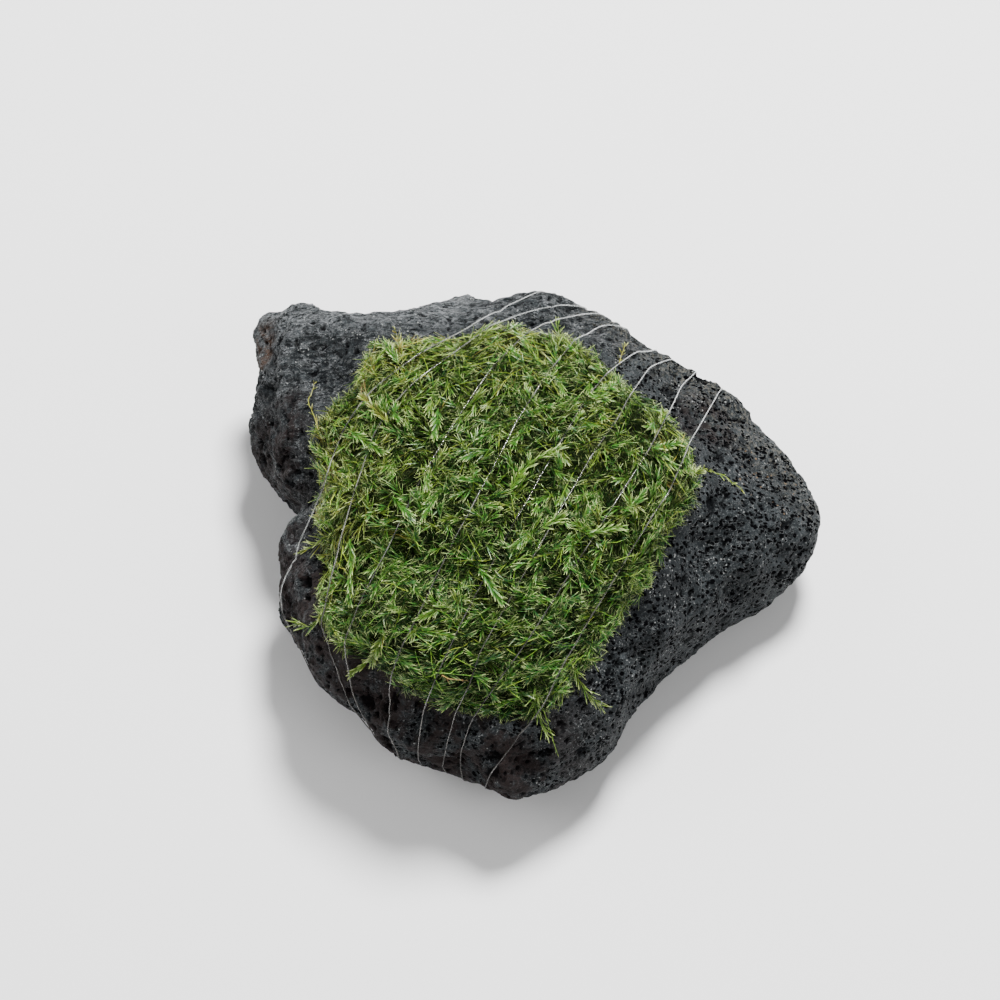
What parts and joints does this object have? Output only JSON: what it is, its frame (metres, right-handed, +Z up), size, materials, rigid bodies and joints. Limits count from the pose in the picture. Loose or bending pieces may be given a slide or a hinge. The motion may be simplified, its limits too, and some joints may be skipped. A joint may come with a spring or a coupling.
{
  "type": "aquarium moss on stone",
  "caption": "Flat mat of bright green aquatic moss tied on top of a dark, porous lava stone with clear nylon thread, ready to be set in an aquarium.",
  "frame": {"origin": "on the surface that the stone stands on, under the middle of the stone's outline", "axes": "+Z up, +X to the stone's blunt right tip, +Y to its back edge, with the stone's horn at the back left"},
  "size_m": [0.0788, 0.0724, 0.0347],
  "materials": {
    "lava_stone": "rough, dull and full of small pits",
    "moss": "soft and slightly glossy when wet",
    "nylon_thread": "clear and glossy"
  },
  "bodies": {
    "root": {"stone": "lava_stone", "moss": "moss", "thread": "nylon_thread"}
  },
  "joints": []
}
